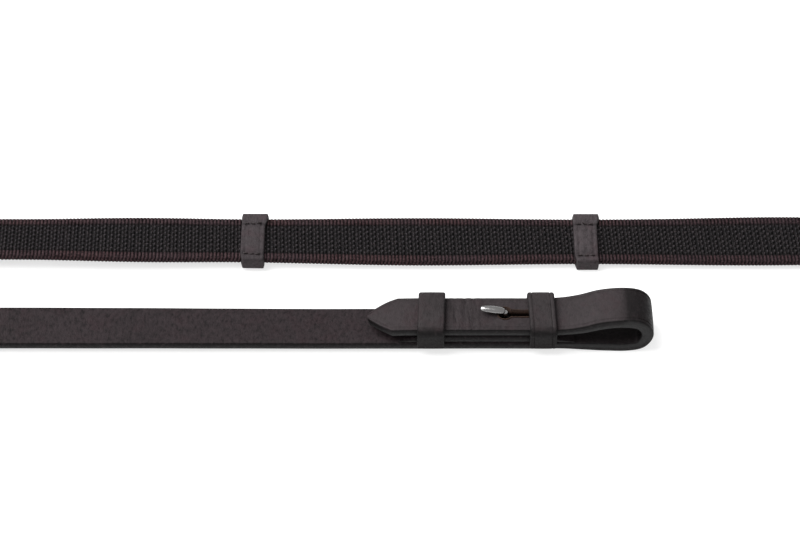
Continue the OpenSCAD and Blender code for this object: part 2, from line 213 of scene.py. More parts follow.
# ---- mesh making
def new_object(name, verts, faces, material, attributes=None, sharp=40):
    """A smooth mesh in metres; attributes are one value for each vertex."""
    mesh = bpy.data.meshes.new(name)
    mesh.from_pydata(verts, [], faces)
    mesh.validate()
    mesh.shade_smooth()
    mesh.materials.append(material)
    for key, values in (attributes or {}).items():
        attribute = mesh.attributes.new(key, "FLOAT", "POINT")
        attribute.data.foreach_set("value", np.asarray(values, np.float32).ravel())
    mesh.set_sharp_from_angle(angle=math.radians(sharp))
    mesh.update()
    obj = bpy.data.objects.new(name, mesh)
    bpy.context.scene.collection.objects.link(obj)
    return obj


def outward(obj):
    """Turns the faces outward, whichever way the piece was laid down."""
    bm = bmesh.new()
    bm.from_mesh(obj.data)
    bmesh.ops.recalc_face_normals(bm, faces=bm.faces)
    bm.to_mesh(obj.data)
    bm.free()


def grid_faces(n, m, ends="cap"):
    """Faces of n closed rings of m points. ends: cap closes both ends, join joins last to first."""
    i, j = np.meshgrid(np.arange(n if ends == "join" else n - 1), np.arange(m), indexing="ij")
    i2, j2 = (i + 1) % n, (j + 1) % m
    faces = list(np.stack([i * m + j, i * m + j2, i2 * m + j2, i2 * m + j], -1).reshape(-1, 4))
    if ends == "cap":
        faces.append(np.arange(m)[::-1])
        faces.append((n - 1) * m + np.arange(m))
    return faces


def skin(name, points, material, attributes=None, ends="cap", sharp=40):
    """A skin over rings of points, as (rings, points, 3) in layout mm, with its faces outward."""
    obj = new_object(name, to_model(points).reshape(-1, 3), grid_faces(*points.shape[:2], ends),
                     material, attributes, sharp)
    outward(obj)
    return obj


def sweep(name, line, u, v, material, attributes, ends="cap", sharp=40):
    """A skin along a line_at() line: u, v are (rings, points) offsets across and up from it."""
    middle, side, up = line
    middle = middle if middle.ndim == 3 else middle[:, None]
    points = middle + u[..., None] * side[:, None] + v[..., None] * up[:, None]
    return skin(name, points, material, attributes, ends, sharp)


def left_normals(path, closed=False):
    """Unit normals on the left of a 2-D path."""
    d = np.roll(path, -1, 0) - np.roll(path, 1, 0) if closed else np.gradient(path, axis=0)
    d /= np.linalg.norm(d, axis=1)[:, None]
    return np.stack([-d[:, 1], d[:, 0]], 1)


def wrapped(name, put, path, x, out, material, tone=None, closed=True):
    """A band that follows a y, z path in put's frame, with a section of x and outward offsets."""
    points = np.empty((len(path), len(out), 3))
    points[..., 0] = x
    points[..., 1:] = path[:, None] + left_normals(path, closed)[:, None] * out[:, None]
    attributes = None if tone is None else {"edge": np.broadcast_to(tone, points.shape[:2])}
    return skin(name, put(points), material, attributes, "join" if closed else "cap")


CREASE_IN = 1.55  # from a strap's side to its creased line


def strap_section(w, t, face_points=13, crease=True, crown=0.12, groove=0.16):
    """A leather strap's rounded outline. Returns the u, v and edge tone of its points; the edge
    tone places painted shade and a painted reflection.
    """
    h = w / 2
    inner = h - 0.7
    us = list(np.linspace(-inner, inner, face_points))
    if crease:
        c = h - CREASE_IN
        us += [-c - 0.35, -c, -c + 0.35, c - 0.35, c, c + 0.35]
        us = sorted(set(round(x, 4) for x in us))
    top = []
    for x in us:
        v = t / 2 + crown * (1 - (x / h) ** 2)
        if crease and abs(abs(x) - c) < 0.02:
            v -= groove
        top.append((x, v, 0.0))
    # Edge tone round the side: about 0.2 to 0.55 on the upper corner is painted shade, 0.8 to 1
    # lower down is a painted reflection, and 0.27 under the strap is painted shade
    right = [(h - 0.42, t / 2 - 0.04, 0.2), (h - 0.16, t / 2 - 0.2, 0.45),
             (h - 0.03, t / 2 - 0.55, 0.5), (h + 0.02, 0.12 * t, 0.55),
             (h + 0.02, -0.1 * t, 0.95), (h - 0.02, -0.28 * t, 1.0),
             (h - 0.14, -t / 2 + 0.3, 0.8), (h - 0.4, -t / 2 + 0.06, 0.3)]
    bottom = [(x, -t / 2, 0.27) for x in np.linspace(inner - 0.2, -inner + 0.2, 7)]
    left = [(-x, v, e) for x, v, e in reversed(right)]
    out = np.array(top + right + bottom + left)
    return out[:, 0], out[:, 1], out[:, 2]


def rounded_rect(w, t, r, per_corner=5, along_w=11, along_t=3):
    """Points round a rectangle, clockwise from the left end of its top side."""
    r = min(r, w / 2 - 0.01, t / 2 - 0.01)
    hw, ht = w / 2 - r, t / 2 - r
    out = [(x, t / 2) for x in np.linspace(-hw, hw, along_w)]
    for cx, cy, a0, side in ((hw, ht, 90, [(w / 2, y) for y in np.linspace(ht, -ht, along_t)]),
                             (hw, -ht, 0, [(x, -t / 2) for x in np.linspace(hw, -hw, along_w)]),
                             (-hw, -ht, -90, [(-w / 2, y) for y in np.linspace(-ht, ht, along_t)]),
                             (-hw, ht, -180, [])):
        a = np.radians(a0 - 90 * np.arange(1, per_corner) / per_corner)
        out += [*zip(cx + r * np.cos(a), cy + r * np.sin(a)), *side]
    return np.array(out)


def circle(n):
    """n angles round a circle."""
    return np.linspace(0, 2 * math.pi, n, endpoint=False)


def capsules(centres, along, out, length, radius):
    """Many small thread stitches as one mesh, from their middles and directions in layout mm."""
    rings, around = 7, 8
    t = np.linspace(-1, 1, rings)
    profile = np.sqrt(np.clip(1 - np.abs(t) ** 3, 0, 1)) * 0.94 + 0.06
    a = circle(around)
    verts, faces = [], []
    base = grid_faces(rings, around)
    for centre, x, z in zip(centres, along, out):
        x, z = x / np.linalg.norm(x), z / np.linalg.norm(z)
        y = np.cross(z, x)
        ring = (np.cos(a)[None, :, None] * y + np.sin(a)[None, :, None] * z * 0.8) * radius
        sag = (1 - t ** 2) * radius * 0.35
        faces += [f + len(verts) * rings * around for f in base]
        verts.append((centre + (t * length / 2)[:, None, None] * x
                      + profile[:, None, None] * ring + sag[:, None, None] * z).reshape(-1, 3))
    return np.concatenate(verts), faces


def hump(x, centre, width):
    """A smooth bump of height 1."""
    return np.exp(-((x - centre) / width) ** 2)


# ---- materials
class Nodes:
    """A short way to write a material's node tree."""

    def __init__(self, name):
        self.material = bpy.data.materials.new(name)
        self.material.use_nodes = True
        self.tree = self.material.node_tree
        self.bsdf = self.tree.nodes["Principled BSDF"]
        self.coords = self.add("ShaderNodeTexCoord", {}).outputs["Object"]

    def add(self, kind, inputs, **settings):
        node = self.tree.nodes.new(kind)
        for key, value in settings.items():
            setattr(node, key, value)
        self.feed(node, inputs)
        return node

    def feed(self, node, inputs):
        """Sets each input to its number, or links it to its source. None leaves one alone."""
        for key, value in inputs.items():
            if hasattr(value, "is_output"):
                self.tree.links.new(value, node.inputs[key])
            elif value is not None:
                node.inputs[key].default_value = value

    def noise(self, scale, detail=3.0, rough=0.55, stretch=None):
        place = self.coords
        if stretch:
            place = self.add("ShaderNodeMapping", {"Scale": stretch, "Vector": place}).outputs[0]
        return self.add("ShaderNodeTexNoise", {"Scale": scale, "Detail": detail,
                                               "Roughness": rough, "Vector": place}).outputs[0]

    def cells(self, scale):
        return self.add("ShaderNodeTexVoronoi",
                        {"Scale": scale, "Vector": self.coords}).outputs["Distance"]

    def wave(self, scale, direction):
        return self.add("ShaderNodeTexWave", {"Scale": scale, "Vector": self.coords},
                        wave_type="BANDS", bands_direction=direction).outputs["Fac"]

    def attribute(self, name):
        return self.add("ShaderNodeAttribute", {}, attribute_name=name).outputs["Fac"]

    def ramp(self, factor, stops):
        node = self.add("ShaderNodeValToRGB", {"Fac": factor})
        elements = node.color_ramp.elements
        while len(elements) < len(stops):
            elements.new(0.5)
        for element, (at, colour) in zip(elements, stops):
            element.position, element.color = at, (*colour, 1)
        return node.outputs[0]

    def remap(self, value, low, high, to_low, to_high):
        return self.add("ShaderNodeMapRange", {"Value": value, "From Min": low, "From Max": high,
                                               "To Min": to_low, "To Max": to_high}).outputs[0]

    def mix(self, factor, a, b, blend="MIX"):
        a, b = (c if hasattr(c, "is_output") else (*c, 1) for c in (a, b))
        return self.add("ShaderNodeMix", {0: factor, 6: a, 7: b}, data_type="RGBA",
                        blend_type=blend).outputs[2]

    def bump(self, height, strength, distance, normal=None):
        return self.add("ShaderNodeBump", {"Height": height, "Strength": strength,
                                           "Distance": distance, "Normal": normal}).outputs[0]

    def finish(self, colour, roughness, normal=None, specular=0.5, **others):
        named = {key.replace("_", " "): value for key, value in others.items()}
        self.feed(self.bsdf, {"Base Color": colour, "Roughness": roughness, "Normal": normal,
                              "Specular IOR Level": specular, **named})
        return self.material


def scaled(colour, k):
    return tuple(c * k for c in colour)


# Painted shade on leather edges, as a multiplier, and the grey of the painted reflection on their
# lower band
EDGE_DARK, EDGE_REFLECTION = (0.14, 0.14, 0.14), (0.0155, 0.0152, 0.0154)


def leather(name, colour, rough, grain=0.5, mottle=0.45):
    """Dyed bridle leather: fine pores, faint pale specks, and edges two-toned by the edge
    attribute: painted shade on each edge's upper corner and underside, and a painted reflection of
    the pale floor on its lower band.
    """
    n = Nodes(name)
    cloud = n.noise(60, 4)
    fine = n.noise(700, 3)
    base = n.mix(n.remap(cloud, 0.35, 0.7, 0, 1), scaled(colour, 0.82), scaled(colour, 1.2))
    base = n.mix(n.remap(fine, 0.3, 0.75, 0, 0.5), base, scaled(colour, 1.35))
    warm = (colour[0] * 1.25, colour[1] * 0.92, colour[2] * 0.98)
    base = n.mix(n.remap(n.noise(150, 2), 0.5, 0.72, 0, 0.5), base, warm)
    edge = n.attribute("edge")
    # The edge tone darkens the upper corner and the underside: painted shade
    paint = n.ramp(edge, [(0.0, (1, 1, 1)), (0.2, (0.8, 0.8, 0.8)), (0.42, EDGE_DARK),
                          (1.0, EDGE_DARK)])
    base = n.mix(1.0, base, paint, "MULTIPLY")
    # The lower band of each edge turns a lighter grey: a painted reflection of the pale floor
    reflection_band = n.remap(edge, 0.6, 0.95, 0, 1)
    edge_reflection = n.mix(n.remap(fine, 0.3, 0.7, 0, 1), EDGE_REFLECTION, scaled(EDGE_REFLECTION, 1.5))
    base = n.mix(reflection_band, base, edge_reflection)
    pores = n.cells(2300)
    wrinkle = n.noise(800, 5, 0.75, stretch=(1, 0.6, 1))
    normal = n.bump(pores, grain * 0.6, 0.0002)
    normal = n.bump(wrinkle, grain, 0.0006, normal)
    base = n.mix(n.remap(wrinkle, 0.5, 0.34, 0, mottle), base, scaled(colour, 0.3))
    base = n.mix(n.remap(wrinkle, 0.52, 0.66, 0, mottle * 0.6), base, scaled(colour, 1.7))
    roughness = n.remap(fine, 0.25, 0.75, rough - 0.09, rough + 0.1)
    return n.finish(base, roughness, normal, specular=0.1)


STRAP = leather("strap_leather", (0.0188, 0.0136, 0.0151), 0.54, mottle=1.0)
BILLET = leather("billet_leather", (0.0272, 0.0218, 0.0232), 0.5, mottle=0.35)
KEEPER = leather("keeper_leather", (0.0268, 0.0224, 0.0234), 0.52)
STOP = leather("stop_leather", (0.042, 0.035, 0.0374), 0.58, 0.7, mottle=0.6)
SLEEVE = leather("splice_leather", (0.021, 0.0165, 0.0175), 0.52)


def raw_leather():
    """The brown fibres of a cut through the leather."""
    n = Nodes("raw_leather")
    fibres = n.noise(1800, 4, 0.7)
    base = n.mix(n.remap(fibres, 0.3, 0.7, 0, 1), (0.011, 0.006, 0.0045), (0.046, 0.025, 0.017))
    return n.finish(base, 0.8, n.bump(fibres, 0.6, 0.0002), specular=0.2)


def thread(name, colour):
    """Twisted thread with a waxen coat."""
    n = Nodes(name)
    strands = n.wave(900, "DIAGONAL")
    base = n.mix(strands, scaled(colour, 0.5), scaled(colour, 1.3))
    return n.finish(base, 0.55, n.bump(strands, 0.6, 0.0001), specular=0.4)


def grip_web():
    """Brown ribbed selvedges and a black rubber middle, both toned by the mesh's attributes: the
    brown and the black are the web's own, and the dark grooves and holes and the light ribs and
    pips are painted shade and painted highlight.
    """
    n = Nodes("grip_web")
    ridge, rubber = n.attribute("ridge"), n.attribute("rubber")
    fibre = n.noise(2400, 3, 0.6, stretch=(1, 0.3, 1))
    patch = n.noise(45, 3)
    # By height: near black in grooves and holes as painted shade, lighter on ribs and pips as a
    # painted highlight
    brown = n.ramp(ridge, [(0.0, (0.0012, 0.0006, 0.0008)), (0.4, (0.006, 0.003, 0.0037)),
                           (0.7, (0.031, 0.017, 0.020)), (1.0, (0.056, 0.0335, 0.037))])
    warm = n.ramp(ridge, [(0.0, (0.0014, 0.0006, 0.0006)), (0.4, (0.0072, 0.003, 0.0034)),
                          (0.7, (0.036, 0.0162, 0.018)), (1.0, (0.059, 0.031, 0.032))])
    brown = n.mix(n.remap(patch, 0.42, 0.6, 0, 0.8), brown, warm)
    black = n.ramp(ridge, [(0.0, (0.0005, 0.0004, 0.0005)), (0.3, (0.0022, 0.0017, 0.002)),
                           (0.6, (0.0092, 0.0078, 0.0088)), (0.9, (0.037, 0.032, 0.036))])
    base = n.mix(rubber, brown, black)
    beads = n.noise(1500, 2, 0.6)
    base = n.mix(n.remap(fibre, 0.4, 0.72, 0, 0.3), base, n.mix(0.5, base, (0.03, 0.025, 0.026)))
    base = n.mix(n.remap(beads, 0.52, 0.36, 0, 0.75), base, (0.0015, 0.001, 0.0012))
    base = n.mix(n.remap(beads, 0.55, 0.7, 0, 0.5), base, (0.05, 0.038, 0.040))
    normal = n.bump(fibre, 0.5, 0.00012)
    rough = n.remap(rubber, 0, 1, 0.75, 0.55)
    return n.finish(base, rough, normal, specular=0.09)


def steel():
    """Brushed steel, a little tarnished."""
    n = Nodes("steel")
    brushed = n.noise(900, 3, 0.6, stretch=(0.15, 1, 1))
    tarnish = n.noise(120, 3)
    base = n.mix(n.remap(tarnish, 0.4, 0.7, 0, 0.6), (0.36, 0.355, 0.355), (0.26, 0.25, 0.245))
    rough = n.remap(brushed, 0.3, 0.7, 0.16, 0.28)
    return n.finish(base, rough, n.bump(brushed, 0.06, 0.0001), Metallic=1.0)


def elastic():
    """The ribbed black elastic of the tie."""
    n = Nodes("elastic")
    cords = n.wave(320, "X")
    fuzz = n.noise(1500, 3)
    base = n.mix(cords, (0.006, 0.006, 0.006), (0.024, 0.023, 0.024))
    base = n.mix(n.remap(fuzz, 0.4, 0.7, 0, 0.4), base, (0.035, 0.033, 0.034))
    return n.finish(base, 0.75, n.bump(cords, 0.6, 0.0003), specular=0.25)


RAW, WEB, STEEL, ELASTIC = raw_leather(), grip_web(), steel(), elastic()
THREAD = thread("stop_thread", (0.012, 0.005, 0.006))
THREAD_PALE = thread("splice_thread", (0.05, 0.038, 0.036))


def cut(obj, put, outline, low, high):
    """Cuts a hole of this x, y outline from z low to high, all in put's frame. Its wall is raw."""
    points = np.empty((2, len(outline), 3))
    points[..., :2] = outline
    points[..., 2] = [[low], [high]]
    cutter = skin("cutter", put(points), RAW, {"edge": np.zeros(points.shape[:2])})
    modifier = obj.modifiers.new("cut", "BOOLEAN")
    modifier.operation, modifier.solver, modifier.object = "DIFFERENCE", "EXACT", cutter
    modifier.material_mode = "TRANSFER"
    graph = bpy.context.evaluated_depsgraph_get()
    mesh = bpy.data.meshes.new_from_object(obj.evaluated_get(graph))
    obj.modifiers.clear()
    obj.data = mesh
    bpy.data.objects.remove(cutter)


# ---- straps and web
def even(a, b, step):
    """Places from a to b, a step or a little more or less apart."""
    return np.linspace(a, b, max(2, int(round(abs(b - a) / step)) + 1))


def declare(obj, a, b, step, t, width, rise=None):
    """Works out a free strap's middle line from a to b, in metres, and does nothing more with it.
    """
    path = to_model(line_at(even(a, b, step), t, rise)[0])


def leather_strap(name, node, a, b, t, cord_step, rise=None, step=1.5, trim=None):
    """A free leather strap from a to b, slightly wavy. trim(s) narrows it."""
    s = even(a, b, step)
    su, sv, edge = strap_section(LEATHER_W, t, crease=False)
    wave = 0.10 * np.sin(s / 17.0 + 1.3)[:, None] + 0.06 * np.sin(s / 6.1)[:, None]
    v = sv + wave * 0.35
    u = np.broadcast_to(su, v.shape)
    if trim is not None:
        u = u * trim(s)[:, None]
    obj = sweep(name, line_at(s, t, rise), u, v, STRAP, {"edge": np.broadcast_to(edge, v.shape)})
    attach(obj, "reins")
    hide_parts(node)
    declare(obj, a, b, cord_step, t, LEATHER_W, rise)
    return obj


RIB, ROW, ROW_SHIFT = 1.29, 2.12, 0.25  # pitch of the ribs along the web and of the rows across
RUBBER_MID, RUBBER_HALF, RUBBER_SOFT = -0.08, 6.42, 0.14
SEAM_AT, SEAM_W = 6.55, 0.36
SELVEDGE, FACE_HALF = (7.1, 9.6), 6.7  # the reach of the points on a selvedge and on the middle
EDGE_U, EDGE_V = np.array([10.0, 10.12, 10.0]), np.array([0.62, 0.0, -0.62])  # round the side
SPREAD, LEAD_SPREAD = 0.068, 84


def rib_height(rib):
    """Height in mm of the selvedge's ribs. rib is 0 between two ribs and 1 on one."""
    return 0.52 * rib ** 0.75 - 0.4


def weave(s, u):
    """Height of the web's face in mm, and how much of it is the rubber middle."""
    from_mid = np.abs(u - RUBBER_MID)
    rubber = 1 / (1 + np.exp((from_mid - RUBBER_HALF) / RUBBER_SOFT))
    phase = s / RIB + 0.035 * u
    rib = np.abs(np.sin(math.pi * phase))

    def spots(along, across, long, wide):
        """Rows of round spots, shifted by parts of their pitch."""
        cell = (phase / 2 + along) % 1 - 0.5
        row = ((u - ROW_SHIFT) / ROW + across) % 1 - 0.5
        return np.exp(-((cell * 2 * RIB / long) ** 2 + (row * ROW / wide) ** 2))

    holes = spots(0.5, 0.5, 0.42, 0.5) + 0.4 * spots(0.0, 0.0, 0.35, 0.4)
    pips = spots(0.25, 0.46, 0.46, 0.52) + 0.9 * spots(0.75, 0.0, 0.46, 0.5)
    rows = np.cos(2 * math.pi * (u - ROW_SHIFT) / ROW)
    middle = 0.1 * rib - 0.42 - 0.5 * holes + 0.74 * pips - 0.07 * rows
    seam = 0.3 * np.exp(-((from_mid - SEAM_AT) / SEAM_W) ** 2)
    return rib_height(rib) * (1 - rubber) + middle * rubber - seam, rubber


def web_spread(s):
    """How much wider the laid-out web lies between its stops, which pinch it in."""
    before = np.clip((FIRST_STOP - s) / LEAD_SPREAD, 0, 1)
    after_first = np.clip((s - FIRST_STOP) / STOP_PITCH, 0, 2)
    return SPREAD * (np.sin(math.pi * before) ** 2 + np.sin(math.pi * after_first) ** 2)


def web_rows(middle_rows):
    """Where one face's points lie across the web: both selvedges, and the middle between them."""
    selvedge = np.linspace(*SELVEDGE, 5)
    middle = np.linspace(-FACE_HALF, FACE_HALF, middle_rows)
    return np.concatenate([-selvedge[::-1], middle, selvedge])


# The laid-out web's painted shade, from left to right as seen from the camera: darker to the right,
# as the light falls from the left
WEB_SHADE_AT, WEB_SHADE = [490, 600, 720, 803], [1.03, 1.0, 0.88, 0.9]


def web_piece(name, s, fine):
    """The web through the places s. Only a fine one has a dense face, and it is the top one."""
    top = web_rows(39 if fine else 20)
    bottom = np.linspace(9.5, -9.5, 12) if fine else web_rows(20)[::-1]
    top_height, top_rubber = weave(s[:, None], top)
    low_height, low_rubber = weave(s[:, None] + 0.65, bottom)
    rib = rib_height(np.abs(np.sin(math.pi * s / RIB)))[:, None]
    one, edge_ribs = np.ones_like(rib), np.repeat(rib, len(EDGE_U), 1)
    u = np.hstack([one * top, EDGE_U + rib * 0.9, one * bottom, -EDGE_U - rib * 0.9])
    v = np.hstack([WEB_T / 2 + top_height, one * EDGE_V, -WEB_T / 2 - low_height, -one * EDGE_V])
    rubber = np.hstack([one * top_rubber, 0 * edge_ribs, one * low_rubber, 0 * edge_ribs])
    ridge = np.hstack([top_height, edge_ribs, low_height, edge_ribs])
    # The ridge tone follows the face's height, for the painted shade in grooves and the painted
    # highlight on ribs
    ridge = np.clip((ridge + 0.42) / 0.6, 0, 1.1) + rng.normal(0, 0.04, ridge.shape)
    # Painted shade along the web, darker to the right
    ridge *= np.interp(s, WEB_SHADE_AT, WEB_SHADE)[:, None]
    obj = sweep(name, line_at(s, WEB_T), u * (1 + web_spread(s)[:, None]), v, WEB,
                {"ridge": np.clip(ridge, 0, 1), "rubber": rubber}, sharp=80)
    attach(obj, "reins")
    return obj


def hand_rise(s):
    """How far the near hand strap moves out of the hank's turn to lie on the chape."""
    keys = [(BUCKLE_S - BUCKLE_LEN, 0), (BUCKLE_S - 1, POINT_UP), (BUCKLE_S + 999, POINT_UP)]
    return -eased(s, keys)


BAR_R = BUCKLE_WIRE / 2
CHAPE_T = 1.6
CHAPE_OUT = BAR_R + 0.08 + CHAPE_T
POINT_UP = CHAPE_OUT + 0.15 + HAND_T / 2
HOLE_XS, HOLE_R, TONGUE_HOLE = (19, 44, 69), 1.6, (-7.2, -2.8)


def point_trim(s):
    """Half-width factor of the near hand strap: its last 8 mm run to a point."""
    left = BUCKLE_S + POINT_LEN - s
    return np.clip(0.12 + left / 7.5, 0.12, 1) ** 0.7


def punch(obj):
    """Cuts the point's holes, and the slot in which the tongue stands."""
    a = circle(20)
    hole = HOLE_R * np.stack([np.cos(a), np.sin(a)], 1)
    for x in HOLE_XS:
        cut(obj, buckle_frame, hole + [x, 0], POINT_UP - HAND_T, POINT_UP + HAND_T)
    slot = hole + np.where(hole[:, :1] > 0, [[TONGUE_HOLE[1], 0]], [[TONGUE_HOLE[0], 0]])
    cut(obj, buckle_frame, slot, -HAND_T, POINT_UP + HAND_T)


VISIBLE_WEB, FINE, COARSE = (455, 775), 0.26, 0.65  # the stretch in the photo; mesh steps
STOP_3 = FIRST_STOP + 2 * STOP_PITCH
LAP = 13  # a bit strap goes on past its stud, under the loop
OFF_START = 4  # the off hand strap begins this far from the buckle's bar, in the chape
OFF_WEB = rein_s(True, WEB_END), rein_s(True, BIT_LEN)

leather_strap("near_bit_strap_leather", "near_bit_strap", -LAP, BIT_LEN, BIT_T, 6)
near_web = web_piece("near_web_laid_out", np.concatenate([
    even(BIT_LEN, VISIBLE_WEB[0], COARSE)[:-1], even(*VISIBLE_WEB, FINE)[:-1],
    even(VISIBLE_WEB[1], STOP_3, COARSE)]), True)
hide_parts("near_web")
declare(near_web, BIT_LEN, STOP_3, 6, WEB_T, WEB_W)
declare(web_piece("near_web_wound", even(STOP_3, WEB_END, COARSE), False),
        STOP_3, WEB_END, 5, WEB_T, WEB_W)
punch(leather_strap("near_hand_strap_leather", "near_hand_strap", WEB_END, BUCKLE_S + POINT_LEN,
                    HAND_T, 5, hand_rise, 1.0, point_trim))
leather_strap("off_hand_strap_leather", "off_hand_strap", BUCKLE_S + OFF_START, OFF_WEB[0],
              HAND_T, 5)
off_web = web_piece("off_web_wound", even(*OFF_WEB, COARSE), False)
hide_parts("off_web")
declare(off_web, *OFF_WEB, 4, WEB_T, WEB_W)
leather_strap("off_bit_strap_leather", "off_bit_strap", OFF_WEB[1], OFF_STUD_S + LAP, BIT_T, 4)


# ---- bands round the straps
BAND_END, BAND_CORNER = 0.55, 1.1  # length of a band's rounded ends, radius of its corners
STITCH_PITCH, STITCH_R = 1.12, 0.3  # from stitch to stitch in their own lengths, their radius


def sew(name, s0, length, lift, host_t, rows, material, stitch_len, narrow):
    """Stitches on a band from s0, in rows of (u, face, from, to)."""
    centres, along, out = [], [], []
    for row_u, face, a, b in rows:
        for p in np.arange(a, b, stitch_len * STITCH_PITCH):
            if p + stitch_len > b + 0.1:
                continue
            at = s0 + p + stitch_len / 2
            middle, side, up = (x[0] for x in line_at([at], host_t))
            ahead = line_at([at + 0.5], host_t)[0][0] - middle
            across = row_u * (1 if narrow is None else narrow((p + stitch_len / 2) / length))
            centres.append(middle + (across + rng.normal(0, 0.15)) * side + face * lift * up)
            along.append(ahead + rng.normal(0, 0.12) * side)
            out.append(face * up)
    verts, faces = capsules(centres, along, out, stitch_len, STITCH_R)
    sewn = new_object(name, to_model(verts), faces, material)
    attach(sewn, "reins")


def band(name, node, s0, s1, host_t, wall, material, shape, per_mm, rows, thread_material,
         stitch_len, lean=None, narrow=None):
    """A closed leather band round the web from s0 to s1, in layout mm along the route.
    shape(f, u, v) adds to the wall at f along the band, lean(f, u) moves it along the route and
    narrow(f) scales its width; rows are its stitches, for sew()."""
    length = s1 - s0
    f = np.linspace(0, 1, max(9, int(length * per_mm) + 1))
    both = np.concatenate([f, f[::-1]])
    near_end = np.minimum(f, 1 - f) * length
    round_off = np.sqrt(np.clip(1 - (1 - np.clip(near_end / BAND_END, 0, 1)) ** 2, 0, 1))
    grow = (0.35 + 0.65 * round_off)[:, None]
    wide = (np.ones(len(f)) if narrow is None else narrow(f))[:, None]
    middle, side, up = line_at(s0 + both * length, host_t)
    base = rounded_rect(WEB_W + 0.1, host_t + 0.1, 0.5)
    full = rounded_rect(WEB_W + 0.1 + 2 * wall, host_t + 0.1 + 2 * wall, BAND_CORNER)
    u = base[:, 0] * wide + (full[:, 0] - base[:, 0]) * grow
    v = base[:, 1] + (full[:, 1] - base[:, 1]) * grow
    v += shape(f[:, None], u, v) * np.sign(v)
    # Painted shade in the stitch valleys and creases, and on the band's two ends
    edge = 0.3 * np.clip(-shape(f[:, None], u, v) * 1.9 - 0.25, 0, 1)
    edge[[0, -1]] += 0.45
    u = np.vstack([u, base[:, 0] * wide[::-1]])
    v = np.vstack([v, np.broadcast_to(base[:, 1], v.shape)])
    # The inner face, against the web, is painted in shade
    edge = np.vstack([edge, np.full_like(edge, 0.5)])
    if lean is not None:
        along = np.cross(side, up)[:, None]
        middle = middle[:, None] + along * lean(both[:, None], u)[..., None]
    obj = sweep(name, (middle, side, up), u, v, material, {"edge": edge}, "join", 55)
    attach(obj, "reins")
    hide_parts(node)
    sew(name + "_thread", s0, length, host_t / 2 + wall - 0.12, host_t, rows,
        thread_material, stitch_len, narrow)


STITCH_U = (6.4, -8.6)  # a stop's two rows
SIDES, FACES, STOPS = ((False, "near"), (True, "off")), (1, -1), 5


def stop_shape(f, u, v):
    """Valleys at the two rows of stitches, creases by the ends, and a slightly hollow middle."""
    top = np.abs(v) > 1.4
    valley = sum(hump(u, c, 0.45) for c in STITCH_U)
    inside = (u > STITCH_U[1]) & (u < STITCH_U[0])
    crease = hump(f, 0.2, 0.035) + hump(f, 0.8, 0.035)
    middle = hump(f, 0.5, 0.33) * 0.12
    return top * (-0.55 * valley - 0.16 * inside - 0.16 * crease * inside + middle * inside)


def stop_lean(f, u):
    """The far bend spreads a little, and the near one draws in."""
    far, near = np.clip((u - 5.6) / 3.5, 0, 1), np.clip((-8.8 - u) / 1.6, 0, 1)
    return f * far + 0.6 * (1 - f) * near


for off, rein in SIDES:
    for i in range(1, STOPS + 1):
        at = rein_s(off, FIRST_STOP + (i - 1) * STOP_PITCH)
        rows = [(c, face, 1.0, STOP_LEN - 1.0) for c in STITCH_U for face in FACES]
        band(f"{rein}_stop_{i}_leather", f"{rein}_stop_{i}",
             at - STOP_LEN / 2, at + STOP_LEN / 2, WEB_T, STOP_T, STOP,
             stop_shape, 3.2, rows, THREAD, 2.0, lean=stop_lean)


SLEEVE_STITCH_U = 7.9
ON_LEATHER, ON_WEB = 20, 22  # a sleeve's reach to either side of the join
SPLICES = [("bit_splice", BIT_LEN - ON_LEATHER, BIT_LEN + ON_WEB),
           ("hand_splice", WEB_END - ON_WEB, WEB_END + ON_LEATHER)]


def splice_shape(f, u, v):
    """Valleys at the rows of stitches, and a crease by each end."""
    top = np.abs(v) > 1.4
    valley = hump(np.abs(u), SLEEVE_STITCH_U, 0.5)
    crease = hump(f, 0.045, 0.008) + hump(f, 0.955, 0.008)
    return top * (-0.3 * valley - 0.2 * crease)


for off, rein in SIDES:
    for node, a, b in SPLICES:
        s0, s1 = sorted((rein_s(off, a), rein_s(off, b)))
        leather_first = (node == "bit_splice") != off

        def narrow(f, first=leather_first):
            """The sleeve widens from the leather to the web over not quite half its length."""
            t = np.clip((f if first else 1 - f) / 0.45, 0, 1)
            return LEATHER_W / WEB_W + (1 - LEATHER_W / WEB_W) * t * t * (3 - 2 * t)

        rows = [(c, face, 2.5, s1 - s0 - 2.5) for c in (SLEEVE_STITCH_U, -SLEEVE_STITCH_U)
                for face in FACES]
        band(f"{rein}_{node}_sleeve", f"{rein}_{node}", s0, s1, BIT_T, SPLICE_T, SLEEVE,
             splice_shape, 1.6, rows, THREAD_PALE, 2.6, narrow=narrow)


# ---- the bit ends
def smooth_curve(points, step=0.5):
    """A Catmull-Rom curve through 2-D points, resampled every step."""
    p = np.array(points, float)
    p = np.vstack([2 * p[0] - p[1], p, 2 * p[-1] - p[-2]])
    out = []
    for i in range(1, len(p) - 2):
        t = np.linspace(0, 1, 24, endpoint=False)[:, None]
        a, b, c, d = p[i - 1:i + 3]
        out.append(0.5 * (2 * b + (c - a) * t + (2 * a - 5 * b + 4 * c - d) * t ** 2
                          + (3 * b - a - 3 * c + d) * t ** 3))
    out = np.vstack(out + [p[-2][None]])
    length = np.concatenate([[0], np.cumsum(np.linalg.norm(np.diff(out, axis=0), axis=1))])
    at = np.linspace(0, length[-1], int(length[-1] / step) + 1)
    return np.stack([np.interp(at, length, out[:, k]) for k in range(2)], 1)


SECTION_HALF, SECTION_FLAT, SECTION_T = 8, 5.5, 3.3  # the section that section_sweep stretches


